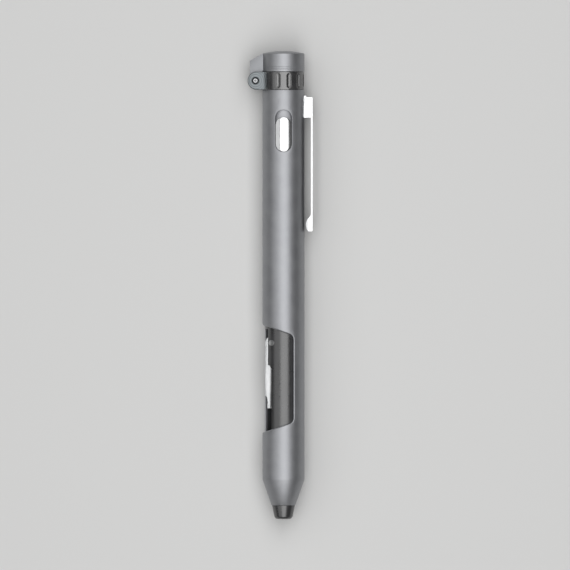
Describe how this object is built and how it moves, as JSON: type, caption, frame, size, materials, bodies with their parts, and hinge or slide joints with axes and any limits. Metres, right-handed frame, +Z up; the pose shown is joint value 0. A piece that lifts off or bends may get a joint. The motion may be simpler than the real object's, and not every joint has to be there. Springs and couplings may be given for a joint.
{
  "type": "multi tool pen",
  "caption": "Twist ballpoint pen with a torch under a flip cap, a slide switch, a sprung pocket clip and a bay of fold-out tools in the barrel.",
  "frame": {"origin": "centre of the footprint, on the surface that the pen lies on", "axes": "+Y along the pen from the writing tip to the cap, +X towards the pocket clip, +Z up out of the side with the switch"},
  "size_m": [0.0208, 0.15, 0.0141],
  "materials": {
    "satin_aluminium": "satin anodised gunmetal, fine turned grain",
    "black_plastic": "black moulded plastic, half gloss",
    "polished_steel": "polished",
    "brushed_steel": "fine brushed",
    "hinge_grey": "grey, face turned in rings round the pin",
    "brass": "plain turned",
    "green_board": "solder mask",
    "clear_lens": "clear moulded lens",
    "mirror_bowl": "metallised"
  },
  "bodies": {
    "barrel": {"barrel": "satin_aluminium", "nose_tip": "black_plastic", "tool_core": "black_plastic", "guide_sleeve": "brass", "retaining_ring": "brushed_steel", "clip_bracket": "polished_steel", "clip_pin": "brushed_steel", "clip_spring": "brushed_steel", "tool_pin": "brushed_steel", "tool_washer_front": "brass", "tool_washer_back": "brass"},
    "head": {"head_collar": "black_plastic", "hinge_bracket": "hinge_grey", "hinge_pin": "polished_steel", "battery_tube": "brass", "battery_spring": "brushed_steel", "cell_1": "brushed_steel", "cell_2": "brushed_steel", "cell_3": "brushed_steel", "led_board": "green_board", "led": "clear_lens", "reflector": "mirror_bowl", "lens": "clear_lens", "lens_bezel": "polished_steel", "drive_shaft": "brushed_steel", "cam_tube": "brass"},
    "cap": {"cap_shell": "satin_aluminium"},
    "refill": {"refill_tip": "brass", "refill_tube": "brass", "refill_carrier": "black_plastic", "carrier_pin": "brushed_steel"},
    "switch": {"switch_button": "polished_steel", "switch_carrier": "satin_aluminium", "switch_contact": "brass"},
    "clip": {"clip_arm": "polished_steel"},
    "knife": {"knife": "brushed_steel"},
    "file": {"nail_file": "brushed_steel"},
    "driver": {"phillips_driver": "brushed_steel"}
  },
  "joints": [
    {"name": "head_twist", "type": "hinge", "parent": "barrel", "child": "head", "pos_m": [0.00107, 0.06265, 0.00674], "axis": [0, 1, 0], "range_deg": [0, 180]},
    {"name": "cap_hinge", "type": "hinge", "parent": "head", "child": "cap", "pos_m": [-0.00793, 0.06555, 0.00674], "axis": [0, 0, 1], "range_deg": [0, 135]},
    {"name": "refill_slide", "type": "slide", "parent": "barrel", "child": "refill", "axis": [0, -1, 0], "range_m": [0, 0.005]},
    {"name": "switch_slide", "type": "slide", "parent": "barrel", "child": "switch", "axis": [0, 1, 0], "range_m": [0, 0.0022]},
    {"name": "clip_hinge", "type": "hinge", "parent": "barrel", "child": "clip", "pos_m": [0.00907, 0.0569, 0.00674], "axis": [0, 0, 1], "range_deg": [0, 6], "stiffness_Nm_per_rad": 0.05, "springref_deg": -2.86},
    {"name": "knife_pivot", "type": "hinge", "parent": "barrel", "child": "knife", "pos_m": [-0.00283, -0.0185, 0.00674], "axis": [0, 0, -1], "range_deg": [0, 120]},
    {"name": "file_pivot", "type": "hinge", "parent": "barrel", "child": "file", "pos_m": [-0.00283, -0.0185, 0.00674], "axis": [0, 0, -1], "range_deg": [0, 120]},
    {"name": "driver_pivot", "type": "hinge", "parent": "barrel", "child": "driver", "pos_m": [-0.00283, -0.0185, 0.00674], "axis": [0, 0, -1], "range_deg": [0, 120]}
  ],
  "couplings": [
    {"joint": "refill_slide", "follows": "head_twist", "m_per_rad": 0.0015915}
  ]
}
